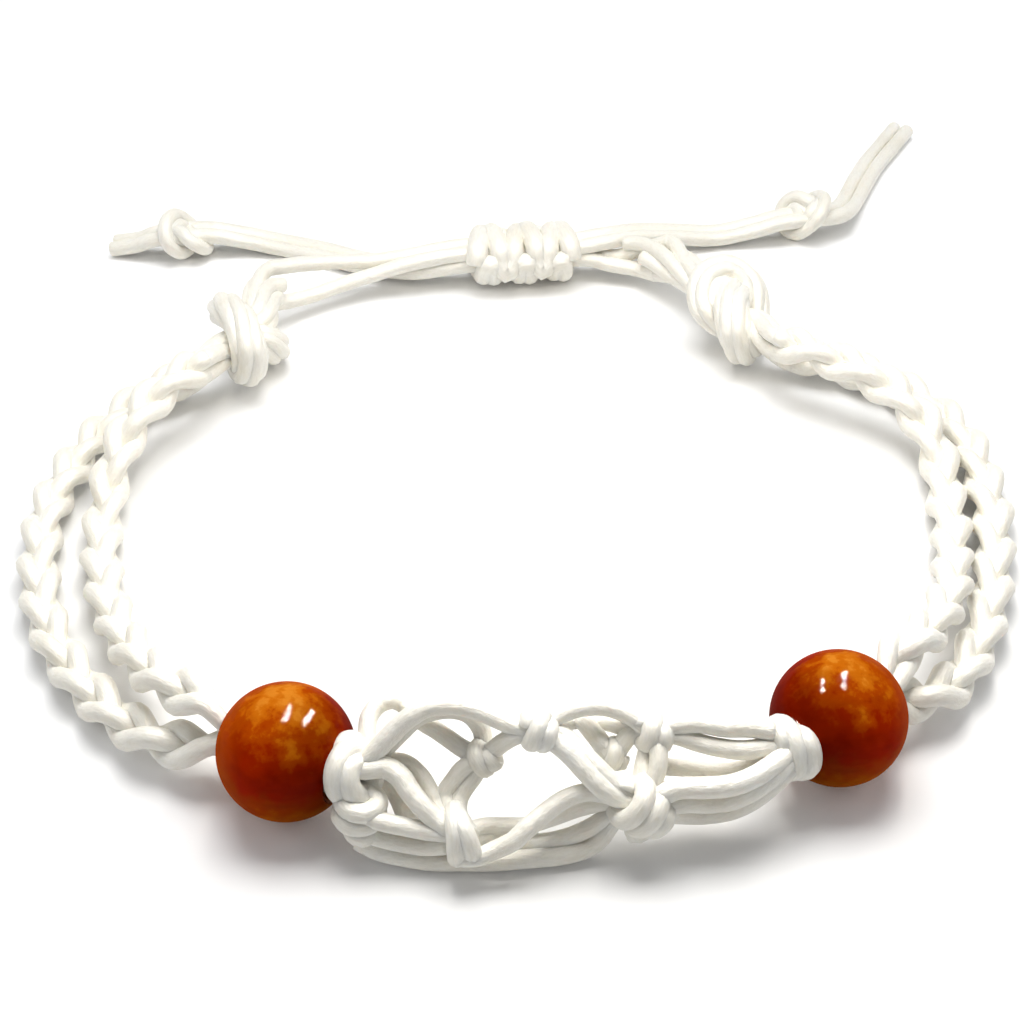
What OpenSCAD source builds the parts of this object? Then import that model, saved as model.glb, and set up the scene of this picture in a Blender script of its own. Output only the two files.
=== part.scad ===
// Macrame bracelet with two wooden beads, an empty net pouch and a sliding closing knot.
// Millimetres, +Z up, lying on the surface z = 0, the pouch at the front (-Y).

/* [Cord] */
// Diameter of the waxed cord in the net and its knots
cord_d = 1.1; // [0.95:0.05:1.15]
// Diameter of a cord drawn tight in a plait
plait_cord_d = 1; // [0.8:0.05:1.05]
// Diameter of one cord of a closing pair
tail_cord_d = 1; // [0.8:0.05:1.1]

/* [Beads] */
// Diameter of a wooden bead
bead_d = 8; // [7.6:0.1:8.2]
// Length of a bead along its hole
bead_len = 7.1; // [7:0.1:7.2]
// Diameter of the hole
bead_bore = 3; // [2.9:0.1:3.1]

/* [Plaits] */
// How far each cord swings to either side of a plait's middle
plait_sway = 1.12; // [1.05:0.01:1.2]
// How far each cord rises and dips as it crosses the others
plait_lift = 0.76; // [0.75:0.01:0.8]
// Length in which a cord comes back to the same edge
plait_pitch = 11.4; // [10:0.1:12]

/* [Knots] */
// Diameter of the rope of six cords in the big knot on the left
big_knot_left_d = 2.5; // [2.3:0.05:2.6]
// Diameter of the rope of six cords in the big knot on the right
big_knot_right_d = 2.45; // [2.3:0.05:2.55]
// Length of the sliding knot
slide_len = 10; // [9:0.5:11]
// Number of square knots in the sliding knot
slide_count = 3; // [2:1:4]
// Length of the small knots on the tails
end_knot_len = 3.4; // [3:0.1:3.8]
// Outer diameter of the small knots on the tails
end_knot_d = 3.6; // [3.5:0.1:3.8]

/* [Hidden] */
// Clear gap kept between pieces that lie against each other
gap = 0.12;
cord_r = cord_d / 2;
cord_sides = 6;
// Spline steps between two way points when a route is smoothed
spline_steps = 8;

LEFT = 0;
RIGHT = 1;
SIDES = ["left", "right"];
PLAITS = ["plait_outer_left", "plait_inner_left", "plait_outer_right", "plait_inner_right"];

// Beads: centre and the heading of the hole towards the net, left then right
bead_at = [[-15.5, -24.5, 4], [16.4, -25.2, 4]];
bead_heading = [-33, 180 + 29];

// Way points of each plait's middle line, from the bead to the big knot: x, y, z
plait_route = [
    [[-19.3, -22.6, 2.9], [-21.6, -21.9, 2.4], [-24.2, -20, 1.9], [-26.8, -16.9, 1.5],
     [-29.1, -13.1, 1.4], [-30.6, -9.3, 1.35], [-31.4, -5.4, 1.35], [-31.6, -1.6, 1.35],
     [-31.3, 2.2, 1.35], [-30.2, 6, 1.35], [-28.6, 9.6, 1.35], [-26.3, 12.9, 1.4],
     [-24.1, 14.7, 1.7], [-22.3, 15.3, 2.1]],
    [[-19, -21.7, 5.2], [-21, -20.4, 5.1], [-23, -17.9, 4.3], [-24.9, -14.1, 3.2],
     [-26.3, -10, 2.2], [-27.2, -5.9, 1.7], [-27.6, -1.8, 1.4], [-27.4, 1.8, 1.7],
     [-26.9, 5, 2.6], [-25.8, 7.8, 3.5], [-24.1, 10.4, 4.2], [-22, 12.4, 4.6], [-20.9, 13.4, 4.5]],
    [[20.3, -23, 2.9], [22.6, -22.5, 2.3], [24.9, -20.9, 1.8], [26.9, -18.3, 1.5],
     [28.7, -15.2, 1.4], [30.1, -11.8, 1.35], [31.4, -7.9, 1.35], [32.3, -3.9, 1.35],
     [32.6, 0, 1.35], [32.3, 3.8, 1.35], [30.8, 7.6, 1.35], [28, 11, 1.4],
     [24.8, 13.1, 1.6], [22.6, 13.8, 1.9]],
    [[19.9, -22.1, 5.2], [21.8, -20.7, 5], [24.1, -17.9, 4.2], [26, -14.3, 3.2],
     [27.4, -10.3, 2.3], [28.5, -6.3, 1.7], [29.2, -2.6, 1.5], [29.5, 0.6, 2],
     [29, 3.6, 3], [27.2, 6.5, 3.9], [24.5, 9, 4.4], [22.1, 10.9, 4.5], [20.8, 12, 4.4]]];
// Rings along one turn of a plait
plait_rings = 10;
// Stretch in which a plait opens out from a tight bundle
plait_open = 1.1;
// Distance of each cord from the middle of a tight bundle, as a share of its diameter
tight_share = 0.7;

// Net knots: place, heading of the cords through it (turn, rise), outer diameter, length
net_knots = [
    [[-1.5, -27.6, 7.3], 10, 0, 2.9, 2.4],
    [[-6.3, -29.9, 2.5], 60, -62, 3.1, 3.8],
    [[-4.2, -26.8, 4.9], -60, -20, 2.7, 2.2],
    [[3.2, -30.1, 3.7], 20, -70, 3.3, 4],
    [[5, -27.3, 6.2], 0, 10, 2.9, 2.2]];
knot_top = net_knots[0][0];
knot_front_left = net_knots[1][0];
knot_back_left = net_knots[2][0];
knot_front_right = net_knots[3][0];
knot_back_right = net_knots[4][0];

// Net cords: the points that each passes through from left to right
net_cords = [
    [[-11.2, -26.9, 5.6], [-9.7, -26.4, 6.7], [-7.7, -25.8, 7.9], [-5.4, -26, 8], [-3.4, -27, 7.6], knot_top],
    [[-11.4, -26.6, 5], [-11, -25, 6], [-9.7, -23.8, 6.3], [-8, -24, 6.3],
     [-6.2, -25.2, 5.9], knot_back_left],
    [knot_back_left, [-5.2, -27.8, 4.2], [-6, -29, 3.5], knot_front_left],
    [[-10.8, -27.7, 5.3], [-8.9, -27.9, 5], [-7.6, -28.9, 4.2], knot_front_left],
    [[-10.9, -28.8, 3], [-8.8, -29.5, 2.4], knot_front_left],
    [[-11, -29, 1.5], [-8.9, -30.3, 0.8], [-6.4, -31, 0.9], [-3.6, -31.1, 0.7], [-1, -31, 0.7],
     [1.3, -30.8, 1], knot_front_right],
    [knot_front_left, [-3.8, -31, 2], [-2.5, -30.5, 2.7], [-1.2, -29.9, 3.5], [0.7, -29.5, 4.2],
     [2.3, -29.8, 4.3], knot_front_right],
    [knot_back_left, [-3.2, -27, 6.2], knot_top],
    [knot_top, [0.7, -28.7, 6.4], [2.4, -29.8, 5.4], knot_front_right],
    [knot_top, [0.7, -26, 7.6], [2.2, -25.9, 7.4], [3.7, -26.4, 6.9], knot_back_right],
    [knot_top, [0.9, -26.7, 5.7], [2.9, -26.9, 5.4], knot_back_right],
    [knot_front_right, [4.9, -29.3, 5.5], [5.5, -28.3, 6], knot_back_right],
    [knot_back_right, [8.4, -28, 5.2], [11.6, -28.4, 5.1]],
    [knot_back_right, [8.8, -26.5, 6.3], [11.3, -26.8, 6.2], [12.5, -27.8, 5.8]],
    [knot_front_right, [5.6, -30, 4.6], [7.4, -30.4, 4.6], [9.2, -30.2, 4.6], [11.9, -29.3, 4.9]],
    [knot_front_right, [6.6, -30.2, 3.1], [8.6, -30.6, 2.6], [10.8, -30.2, 3.1], [12.3, -29.3, 4.4]],
    [knot_front_right, [5.2, -30.3, 1.8], [8.1, -30.4, 1.1], [10.8, -29.8, 1.9], [12.6, -29, 3.9]]];

// Gather knots: the spine of each
gather_spine = [
    [[-12.6, -27.6, 7.1], [-11.9, -27.8, 5.5], [-11.6, -28.3, 4.2], [-11.6, -28.7, 3],
     [-11.8, -28.9, 1.6]],
    [[11.8, -28.2, 6], [12.4, -28.6, 5.4], [12.9, -29, 4.9], [13.4, -29.4, 4.3]]];
// Wraps on the spine: place, turn, rise, outer diameter
gather_wraps = [
    [[[-12.4, -27.6, 6.9], 30, 50, 2.6], [[-11.9, -27.8, 5.3], 20, 60, 2.9],
     [[-11.6, -28.5, 3.6], -20, 75, 2.8], [[-11.8, -28.9, 1.8], -40, 70, 2.6]],
    [[[12.3, -28.5, 5.6], -20, -40, 3.2], [[13, -29.3, 4.8], -20, -40, 3.2]]];

// First half of a tight overhand knot's middle line, for a rope of diameter 1; the second half
// is the same, turned half round the Y axis
overhand_half = [
    [-1, 0.1, 0], [-0.2, 0.4, -0.5], [0.45, 1.05, -0.3], [1.05, 0.95, 0.45], [1.1, 0.2, 1],
    [0.6, -0.6, 0.8]];
overhand_middle = [0, -0.8, 0];
// How far the knot's turns are pressed into each other, as a share of the rope
overhand_pull = 0.84;
// Big knots: centre, turn, roll round the knot's axis, stretch along, across and upright
big_knots = [
    [[-18.2, 18.9, 3.3], 57, 240, [1.04, 1.08, 0.92]],
    [[19.1, 18.1, 3.05], 115, 30, [1.12, 0.94, 0.85]]];
// Where the six plaited cords of a side come together, and where its closing pair comes out
big_knot_mouths = [
    [[-20.7, 15.3, 3.2], [-16.5, 24.5, 3]],
    [[20.6, 13.7, 3], [15.6, 25.4, 2.8]]];
// Distance between two rings, and number of sides, of a big knot's rope
big_knot_ring = 1.2;
big_knot_sides = 10;

// Routes of the closing pairs from the big knot to the tip: x, y, z of the middle between the
// two cords, and how far each lies from it, sideways and upright
beside = 0.53;
closing_route = [
    [[-15.7, 25.6, 2.9, 0.9, -1.1], [-13.4, 26.9, 2.4, 0.9, -0.95], [-10.8, 27.9, 2.2, 0.75, -0.6],
     [-8, 28.6, 2.1, 0.6, -0.25], [-5, 28.9, 2.5, beside, 0], [-1.4, 29.2, 2.83, beside, 0],
     [3, 29.2, 2.83, beside, 0], [7.6, 29.2, 2.83, beside, 0], [10.6, 29.7, 2.9, beside, 0],
     [13.6, 31.1, 2.3, beside, 0], [17.2, 32.2, 1.3, beside, 0], [20.4, 32.6, 0.8, beside, 0],
     [23.4, 32.7, 1.3, beside, 0], [25.6, 32.81, 1.8, beside, 0], [30.1, 33.32, 1.8, beside, 0],
     [31.6, 35, 1.2, beside, 0], [32.8, 37.2, 0.7, beside, 0], [34.4, 40.2, 0.55, beside, 0],
     [36.2, 43.2, 0.55, beside, 0], [38.2, 46, 0.55, beside, 0], [40.2, 48.8, 0.55, beside, 0]],
    [[14.9, 26.5, 2.8, 0.9, 1.1], [13.4, 27.8, 2, 0.7, 0.6], [11.2, 28.5, 1.5, 0.55, 0.05],
     [8.8, 29.2, 1.77, beside, 0], [3, 29.2, 1.77, beside, 0], [-1, 29.2, 1.77, beside, 0],
     [-4.8, 29.6, 1.2, beside, 0], [-8.4, 31.2, 0.8, beside, 0], [-12, 33.4, 0.7, beside, 0],
     [-15.4, 35, 0.7, beside, 0], [-18.4, 35.7, 1.2, beside, 0], [-21.2, 35.81, 1.8, beside, 0],
     [-25.2, 35.67, 1.8, beside, 0], [-26.9, 36, 1.1, beside, 0], [-29, 36.5, 0.6, beside, 0]]];
// Distance between two rings of a net cord and of a closing cord
net_ring = 1.3;
closing_ring = 3;
closing_sides = 8;

// Sliding knot: middle, outer diameter and hole
slide_at = [3.9, 29.2, 2.3];
slide_d = 4.5;
slide_bore = 2.9;
// End knots: place and heading; each holds a pair of cords
end_knots = [[[-23, 35.75, 1.8], 2], [[27.7, 33.05, 1.8], 6.5]];
end_knot_bore = 2 * tail_cord_d + 2 * gap;
end_knot_wraps = 3;

function unit(v) = v / norm(v);
function mix(a, b, f) = a + (b - a) * f;
function ease(f) = let (g = min(max(f, 0), 1)) g * g * (3 - 2 * g);
function last(list) = list[len(list) - 1];

// A Catmull-Rom curve through way points p
function spline_point(p, i, f) =
    let (n = len(p) - 1, a = p[max(i - 1, 0)], b = p[i], c = p[min(i + 1, n)], d = p[min(i + 2, n)])
    0.5 * (2 * b + (c - a) * f + (2 * a - 5 * b + 4 * c - d) * f * f
           + (3 * b - a - 3 * c + d) * f * f * f);
function smooth(p, steps = spline_steps) = concat(
    [for (i = [0:len(p) - 2]) for (s = [0:steps - 1]) spline_point(p, i, s / steps)],
    [last(p)]);

// Distance from the start at each point of a path
function distances(path) =
    [for (i = 0, s = 0; i < len(path);
          i = i + 1, s = i < len(path) ? s + norm(spot(path[i]) - spot(path[i - 1])) : s) s];
// One lookup table for each coordinate, against that distance
function measured(path) =
    let (s = distances(path), n = len(path[0]))
    [for (c = [0:n - 1]) [for (i = [0:len(path) - 1]) [s[i], path[i][c]]]];
function route_length(table) = last(table[0])[0];
function at(table, s) = [for (column = table) lookup(s, column)];
function spot(p) = [p[0], p[1], p[2]];

// Unit tangents of a path, and normals carried along it with no twist
function tangents(path) =
    let (n = len(path) - 1)
    [for (i = [0:n]) unit(path[min(i + 1, n)] - path[max(i - 1, 0)])];
function level_side(t) = unit(cross(t, [0, 0, 1]));
function first_normal(t) = abs(t[2]) < 0.9 ? cross(level_side(t), t) : unit(cross(t, [1, 0, 0]));
function carried_normals(t) =
    [for (i = 0, n = first_normal(t[0]); i < len(t);
          i = i + 1, n = i < len(t) ? unit(n - (n * t[i]) * t[i]) : n) n];

// Joins rings of points, each with the same number, into one closed solid
module skin(rings) {
    n = len(rings);
    m = len(rings[0]);
    walls = [for (i = [0:n - 2]) for (j = [0:m - 1])
        [i * m + j, i * m + (j + 1) % m, (i + 1) * m + (j + 1) % m, (i + 1) * m + j]];
    caps = [[for (j = [m - 1:-1:0]) j], [for (j = [0:m - 1]) (n - 1) * m + j]];
    polyhedron([for (ring = rings) each ring], concat(walls, caps), convexity = 8);
}

// A smooth path through way points, with a ring about every step
function stepped(way, step) =
    let (table = measured(smooth(way)), total = route_length(table), n = round(total / step))
    [for (i = [0:n]) at(table, total * i / n)];

// A round cord along a path
module cord(path, d, sides = cord_sides) {
    t = tangents(path);
    n = carried_normals(t);
    skin([for (i = [0:len(path) - 1])
        [for (j = [0:sides - 1])
            path[i] + d / 2 * (cos(360 * j / sides) * n[i] + sin(360 * j / sides) * cross(n[i], t[i]))]]);
}

// Path of one of the three cords of plait p, each coming to its edge once in every turn
function plait_table(p) = measured(smooth(plait_route[p]));
function plait_turns(p) = round(6 * route_length(plait_table(p)) / plait_pitch) / 6;
function swing(angle) = [plait_sway * sin(angle), plait_lift * sin(2 * angle)];
function tight(angle) = plait_cord_d * tight_share * [sin(angle), sin(2 * angle)];
function plait_offset(s, total, turns, k) =
    let (angle = 90 + 360 * turns * s / total + 120 * k,
         start = 90 + 120 * k,
         end = 90 + 360 * turns + 120 * k,
         bundle = s < total / 2 ? tight(start) : tight(end))
    mix(bundle, swing(angle), ease(min(s, total - s) / plait_open));
function plait_path(p, k) =
    let (table = plait_table(p), total = route_length(table), turns = plait_turns(p),
         count = round(turns * plait_rings))
    [for (i = [0:count])
        let (s = total * i / count,
             t = unit(at(table, min(s + 0.3, total)) - at(table, max(s - 0.3, 0))),
             side = level_side(t), o = plait_offset(s, total, turns, k))
        at(table, s) + o[0] * side + o[1] * cross(side, t)];

module plait_cord(p, k) {
    color("ivory") cord(plait_path(p, k), plait_cord_d);
}

// A bead, turned so that its hole runs along +X of its own frame
module bead(side) {
    color("sienna")
    translate(bead_at[side]) rotate([0, 0, bead_heading[side]]) rotate([0, 90, 0])
    difference() {
        intersection() {
            sphere(d = bead_d, $fn = 64);
            cylinder(h = bead_len, d = bead_d + 1, center = true, $fn = 64);
        }
        cylinder(h = bead_len + 2, d = bead_bore, center = true, $fn = 48);
    }
}

// One wrap of cord round the X axis, of outer diameter d
module wrap(d, thick = cord_d, around = 9, sides = 5) {
    rotate([0, 90, 0]) rotate_extrude($fn = around)
    translate([(d - thick) / 2, 0]) circle(d = thick, $fn = sides);
}

// Turns +X to a heading on the level and lifts it by rise
module head(place, turn, rise = 0) {
    translate(place) rotate([0, -rise, turn]) children();
}

// A run of balls of given radii, hulled two by two: points x, y, z, radius
module lumps(points, grow = 0) {
    for (i = [0:len(points) - 2])
        hull() for (p = [points[i], points[i + 1]])
            translate(spot(p)) sphere(r = p[3] + grow, $fn = 8);
}

// A knot of the net: two wraps round a core, with one cord crossing over them
module net_knot(place, turn, rise, d, length) {
    reach = (length - cord_d) / 2;
    head(place, turn, rise) {
        hull() for (x = [-reach, reach]) translate([x, 0, 0]) sphere(d = d - cord_d, $fn = 6);
        for (x = [-reach, reach]) translate([x, 0, 0]) rotate([0, 8, 12]) wrap(d);
        hull() for (f = [-1, 1])
            translate([f * reach, -(d - cord_d) / 2, f * cord_r]) sphere(d = cord_d, $fn = 6);
    }
}

// The open net between the beads, kept clear of the gather knots
module net_pouch() {
    color("white") difference() {
        union() {
            for (way = net_cords) cord(stepped(way, net_ring), cord_d);
            for (k = net_knots) net_knot(k[0], k[1], k[2], k[3], k[4]);
        }
        for (side = [LEFT, RIGHT]) gather_form(side, gap);
    }
}

// Wraps on a bent spine at the end of the net, and the bundle of cords through the bead
module gather_form(side, grow = 0) {
    spine = gather_spine[side];
    bundle_r = bead_bore / 2 - gap;
    a = bead_heading[side];
    neck = bead_at[side] + (bead_len / 2 + 0.2) * [cos(a), sin(a), 0];
    lumps([for (p = spine) concat(p, cord_r)], grow);
    for (p = [spine[1], spine[2], spine[len(spine) - 2]])
        lumps([concat(neck, 0.7 * bundle_r), concat(p, cord_r)], grow);
    for (w = gather_wraps[side]) head(w[0], w[1], w[2]) wrap(w[3] + 2 * grow, cord_d + 2 * grow);
    head(bead_at[side], a) rotate([0, 90, 0])
        cylinder(h = bead_len + 0.2, r = bundle_r + grow, center = true, $fn = 12);
}

module gather_knot(side) {
    color("white") gather_form(side);
}

// Middle line of a tight overhand knot in a rope of diameter 1, along X
function turned(p) = [-p[0], p[1], -p[2]];
function overhand() = let (n = len(overhand_half)) concat(
    overhand_half, [overhand_middle], [for (i = [n - 1:-1:0]) turned(overhand_half[i])]);
// The same, stretched, rolled and set in its place
function rolled(p, a) = [p[0], p[1] * cos(a) - p[2] * sin(a), p[1] * sin(a) + p[2] * cos(a)];
function headed(p, a) = [p[0] * cos(a) - p[1] * sin(a), p[0] * sin(a) + p[1] * cos(a), p[2]];
function stretched(p, s) = [p[0] * s[0], p[1] * s[1], p[2] * s[2]];
function big_knot_way(side, d) = let (k = big_knots[side]) concat(
    [big_knot_mouths[side][0]],
    [for (p = overhand()) k[0] + headed(stretched(rolled(overhand_pull * d * p, k[2]), k[3]), k[1])],
    [big_knot_mouths[side][1]]);

// A big knot: an overhand knot in a thick rope, with the ends of the cords that it is tied in
module big_knot(side) {
    d = side == LEFT ? big_knot_left_d : big_knot_right_d;
    path = stepped(big_knot_way(side, d), big_knot_ring);
    third = floor(len(path) / 3);
    mouths = big_knot_mouths[side];
    color("ivory") {
        for (i = [0:2])
            cord([for (j = [i * third:i < 2 ? (i + 1) * third + 1 : len(path) - 1]) path[j]],
                 d, big_knot_sides);
        for (p = [2 * side, 2 * side + 1]) for (k = [1:3]) {
            way = plait_path(p, k);
            cord_stub(last(way) + (plait_cord_d / 2 + gap) * last(tangents(way)), mouths[0],
                      plait_cord_d);
        }
        for (k = [1, 2]) {
            way = closing_path(side, k);
            cord_stub(way[0] - (tail_cord_d / 2 + gap) * tangents(way)[0], mouths[1], tail_cord_d);
        }
    }
}

// The end of one cord, from the knot that holds it
module cord_stub(end, root, d) {
    hull() for (p = [end, root]) translate(p) sphere(d = d, $fn = 6);
}

// Path of each of the two cords of a closing pair
function closing_path(side, k) =
    let (rows = stepped(closing_route[side], closing_ring), middle = [for (r = rows) spot(r)],
         t = tangents(middle), f = k == 1 ? -1 : 1)
    [for (i = [0:len(rows) - 1])
        middle[i] + f * (rows[i][3] * level_side(t[i]) + [0, 0, rows[i][4]])];

module closing_cord(side, k) {
    color("ivory") cord(closing_path(side, k), tail_cord_d, closing_sides);
}

// Wraps side by side on a sleeve with a round hole, along X
module wrapped_sleeve(length, d, bore, count) {
    thick = (d - bore) / 2;
    pitch = (length - 2 * thick) / max(count - 1, 1);
    difference() {
        union() {
            rotate([0, 90, 0]) cylinder(h = length - thick, d = d - thick, center = true, $fn = 48);
            for (i = [0:count - 1])
                translate([(i - (count - 1) / 2) * pitch, 0, 0])
                rotate([0, 90, 0]) rotate_extrude($fn = 48)
                translate([d / 2 - thick, 0]) circle(r = thick, $fn = 32);
        }
        rotate([0, 90, 0]) cylinder(h = length + 2, d = bore, center = true, $fn = 48);
    }
}

module sliding_knot() {
    color("ivory") head(slide_at, 0) wrapped_sleeve(slide_len, slide_d, slide_bore, 2 * slide_count);
}

module end_knot(side) {
    color("ivory") head(end_knots[side][0], end_knots[side][1])
    wrapped_sleeve(end_knot_len, end_knot_d, end_knot_bore, end_knot_wraps);
}

net_pouch();
gather_knot(LEFT);  // gather_knot_left
gather_knot(RIGHT);  // gather_knot_right
bead(LEFT);  // bead_left
bead(RIGHT);  // bead_right
for (p = [0:3]) for (k = [1:3])
    plait_cord(p, k);
big_knot(LEFT);  // big_knot_left
big_knot(RIGHT);  // big_knot_right
for (side = [LEFT, RIGHT]) for (k = [1:2])
    closing_cord(side, k);
sliding_knot();
end_knot(LEFT);  // end_knot_left
end_knot(RIGHT);  // end_knot_right
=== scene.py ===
import math
import bpy
import numpy as np
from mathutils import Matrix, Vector


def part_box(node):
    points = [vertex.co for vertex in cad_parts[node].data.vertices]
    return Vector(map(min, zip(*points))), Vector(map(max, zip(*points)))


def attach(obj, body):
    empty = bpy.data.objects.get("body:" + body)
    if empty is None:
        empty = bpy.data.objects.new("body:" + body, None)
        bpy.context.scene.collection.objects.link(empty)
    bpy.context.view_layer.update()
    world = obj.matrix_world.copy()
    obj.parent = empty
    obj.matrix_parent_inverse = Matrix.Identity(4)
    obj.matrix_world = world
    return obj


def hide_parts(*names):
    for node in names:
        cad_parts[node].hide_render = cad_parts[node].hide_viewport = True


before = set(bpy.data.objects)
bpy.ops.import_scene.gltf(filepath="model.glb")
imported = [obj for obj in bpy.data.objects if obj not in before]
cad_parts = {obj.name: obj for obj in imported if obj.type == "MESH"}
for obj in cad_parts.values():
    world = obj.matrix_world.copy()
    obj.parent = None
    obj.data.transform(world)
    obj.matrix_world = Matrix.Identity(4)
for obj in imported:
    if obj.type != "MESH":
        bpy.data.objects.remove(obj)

# A macrame bracelet of white waxed cord. Lengths are in millimetres until a mesh is made.
MM = 0.001
LEFT, RIGHT = 0, 1
SIDES = ("left", "right")
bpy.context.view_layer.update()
rng = np.random.default_rng(7)

# Camera: distance, direction from the object, and half the photo's width and the focal length,
# both in the photo's pixels
CAMERA_DISTANCE = 131
CAMERA_BACK = (-0.080, -0.762, 0.643)
FRAME_HALF = 512
FOCAL_LENGTH = 1905

# Cord diameters
PLAIT_CORD = 1.3
TAIL_CORD = 1.22
# A cord's mesh: sides, distance between rings, the same for tight turns, and how uneven its
# thickness is
CORD_SIDES = 12
RING_STEP = 0.28
FINE_STEP = 0.22
CORD_UNEVEN = 0.05
# A cord's cut end: widths of its last two rings as shares of the cord, distance between them,
# how far its texture goes on, and the size of the end's own texture
END_WIDTHS = (0.82, 0.96)
END_DEPTH = 0.042
END_MARGIN = 0.02
END_TEXTURE = 0.3
# Above this slope a cord's start counts as upright
STEEP = 0.9

# Plaits: swing to either side, rise over the others, length of one turn, length over which a
# plait opens at either end, and the width of its bundle there
PLAIT_SWAY = 0.81
PLAIT_LIFT = 0.62
PLAIT_PITCH = 11.4
PLAIT_OPEN = 1.1
PLAIT_BUNDLE = 0.75
# Points of a plait for each ring step of its route, and how far ahead and back its heading is taken
PLAIT_DENSITY = 1.15
PLAIT_AHEAD = 0.3
# Plaited cords in their bead's hole: depth at which they set out for the plait, radius of their
# ring, how far each goes on inwards, its pressed diameter, and the point of the plait it leads to
HOLE_DEPTH = 0.5
HOLE_RING = 0.82
HOLE_TAIL = 1.2
HOLE_CORD = 0.95
PLAIT_FIRST = 5
PLAIT_NAMES = ("plait_outer_left", "plait_inner_left", "plait_outer_right", "plait_inner_right")
PLAIT_ROUTES = (
    [[-19.3, -22.6, 2.9], [-21.6, -21.9, 2.4], [-24.2, -20, 1.9], [-26.8, -16.9, 1.5],
     [-29.1, -13.1, 1.4], [-30.6, -9.3, 1.35], [-31.4, -5.4, 1.35], [-31.6, -1.6, 1.35],
     [-31.3, 2.2, 1.35], [-30.2, 6, 1.35], [-28.6, 9.6, 1.35], [-26.3, 12.9, 1.4],
     [-24.1, 14.7, 1.7], [-22.3, 15.3, 2.1]],
    [[-19, -21.7, 5.2], [-21, -20.4, 5.1], [-23, -17.9, 4.3], [-24.9, -14.1, 3.2],
     [-26.3, -10, 2.2], [-27.2, -5.9, 1.7], [-27.6, -1.8, 1.4], [-27.4, 1.8, 1.7],
     [-26.9, 5, 2.6], [-25.8, 7.8, 3.5], [-24.1, 10.4, 4.2], [-22, 12.4, 4.6],
     [-20.9, 13.4, 4.5]],
    [[20.3, -23, 2.9], [22.6, -22.5, 2.3], [24.9, -20.9, 1.8], [26.9, -18.3, 1.5],
     [28.7, -15.2, 1.4], [30.1, -11.8, 1.35], [31.4, -7.9, 1.35], [32.3, -3.9, 1.35],
     [32.6, 0, 1.35], [32.3, 3.8, 1.35], [30.8, 7.6, 1.35], [28, 11, 1.4],
     [24.8, 13.1, 1.6], [22.6, 13.8, 1.9]],
    [[19.9, -22.1, 5.2], [21.8, -20.7, 5], [24.2, -17.9, 4.2], [26.3, -14.3, 3.2],
     [27.7, -10.3, 2.3], [28.8, -6.3, 1.7], [29.5, -2.6, 1.5], [29.8, 0.6, 2],
     [29.3, 3.6, 3], [27.4, 6.5, 3.9], [24.6, 9, 4.4], [22.1, 10.9, 4.5], [20.8, 12, 4.4]])

# Closing pairs: middle between the two cords, and how far each lies from it, sideways and upright;
# their paths have a point every closing step
BESIDE = 0.58
CLOSING_STEP = 0.5
CLOSING_ROUTES = (
    [[-15.7, 25.6, 2.9, 0.9, -1.1], [-13.4, 26.9, 2.4, 0.9, -0.95], [-10.8, 27.9, 2.2, 0.75, -0.6],
     [-8, 28.6, 2.1, 0.6, -0.25], [-5, 28.9, 2.5, BESIDE, 0], [-1.4, 29.2, 2.83, BESIDE, 0],
     [3, 29.2, 2.83, BESIDE, 0], [7.6, 29.2, 2.83, BESIDE, 0], [10.6, 29.7, 2.9, BESIDE, 0],
     [13.6, 31.1, 2.3, BESIDE, 0], [17.2, 32.2, 1.3, BESIDE, 0], [20.4, 32.6, 0.8, BESIDE, 0],
     [23.4, 32.7, 1.3, BESIDE, 0], [25.6, 32.81, 1.8, BESIDE, 0], [30.1, 33.32, 1.8, BESIDE, 0],
     [31.6, 35, 1.2, BESIDE, 0], [32.8, 37.2, 0.7, BESIDE, 0], [34.4, 40.2, 0.6, BESIDE, 0],
     [36.2, 43.2, 0.6, BESIDE, 0], [38.2, 46, 0.6, BESIDE, 0], [40.2, 48.8, 0.6, BESIDE, 0]],
    [[14.9, 26.5, 2.8, 0.9, 1.1], [13.4, 27.8, 2, 0.7, 0.6], [11.2, 28.5, 1.5, 0.55, 0.05],
     [8.8, 29.2, 1.77, BESIDE, 0], [3, 29.2, 1.77, BESIDE, 0], [-1, 29.2, 1.77, BESIDE, 0],
     [-4.8, 29.6, 1.2, BESIDE, 0], [-8.4, 31.2, 0.8, BESIDE, 0], [-12, 33.4, 0.7, BESIDE, 0],
     [-15.4, 35, 0.7, BESIDE, 0], [-18.4, 35.7, 1.2, BESIDE, 0], [-21.2, 35.81, 1.8, BESIDE, 0],
     [-25.2, 35.67, 1.8, BESIDE, 0], [-26.9, 36, 1.1, BESIDE, 0], [-29, 36.5, 0.6, BESIDE, 0]])

# First half of a tight overhand knot's middle line, for a rope of diameter 1
OVERHAND_HALF = [
    [-1, 0.1, 0], [-0.2, 0.4, -0.5], [0.45, 1.05, -0.3], [1.05, 0.95, 0.45], [1.1, 0.2, 1],
    [0.6, -0.6, 0.8]]
OVERHAND_MIDDLE = [0, -0.8, 0]
# How far the knot's turns are pressed into each other, as a share of the rope
OVERHAND_PULL = 0.84

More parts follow.
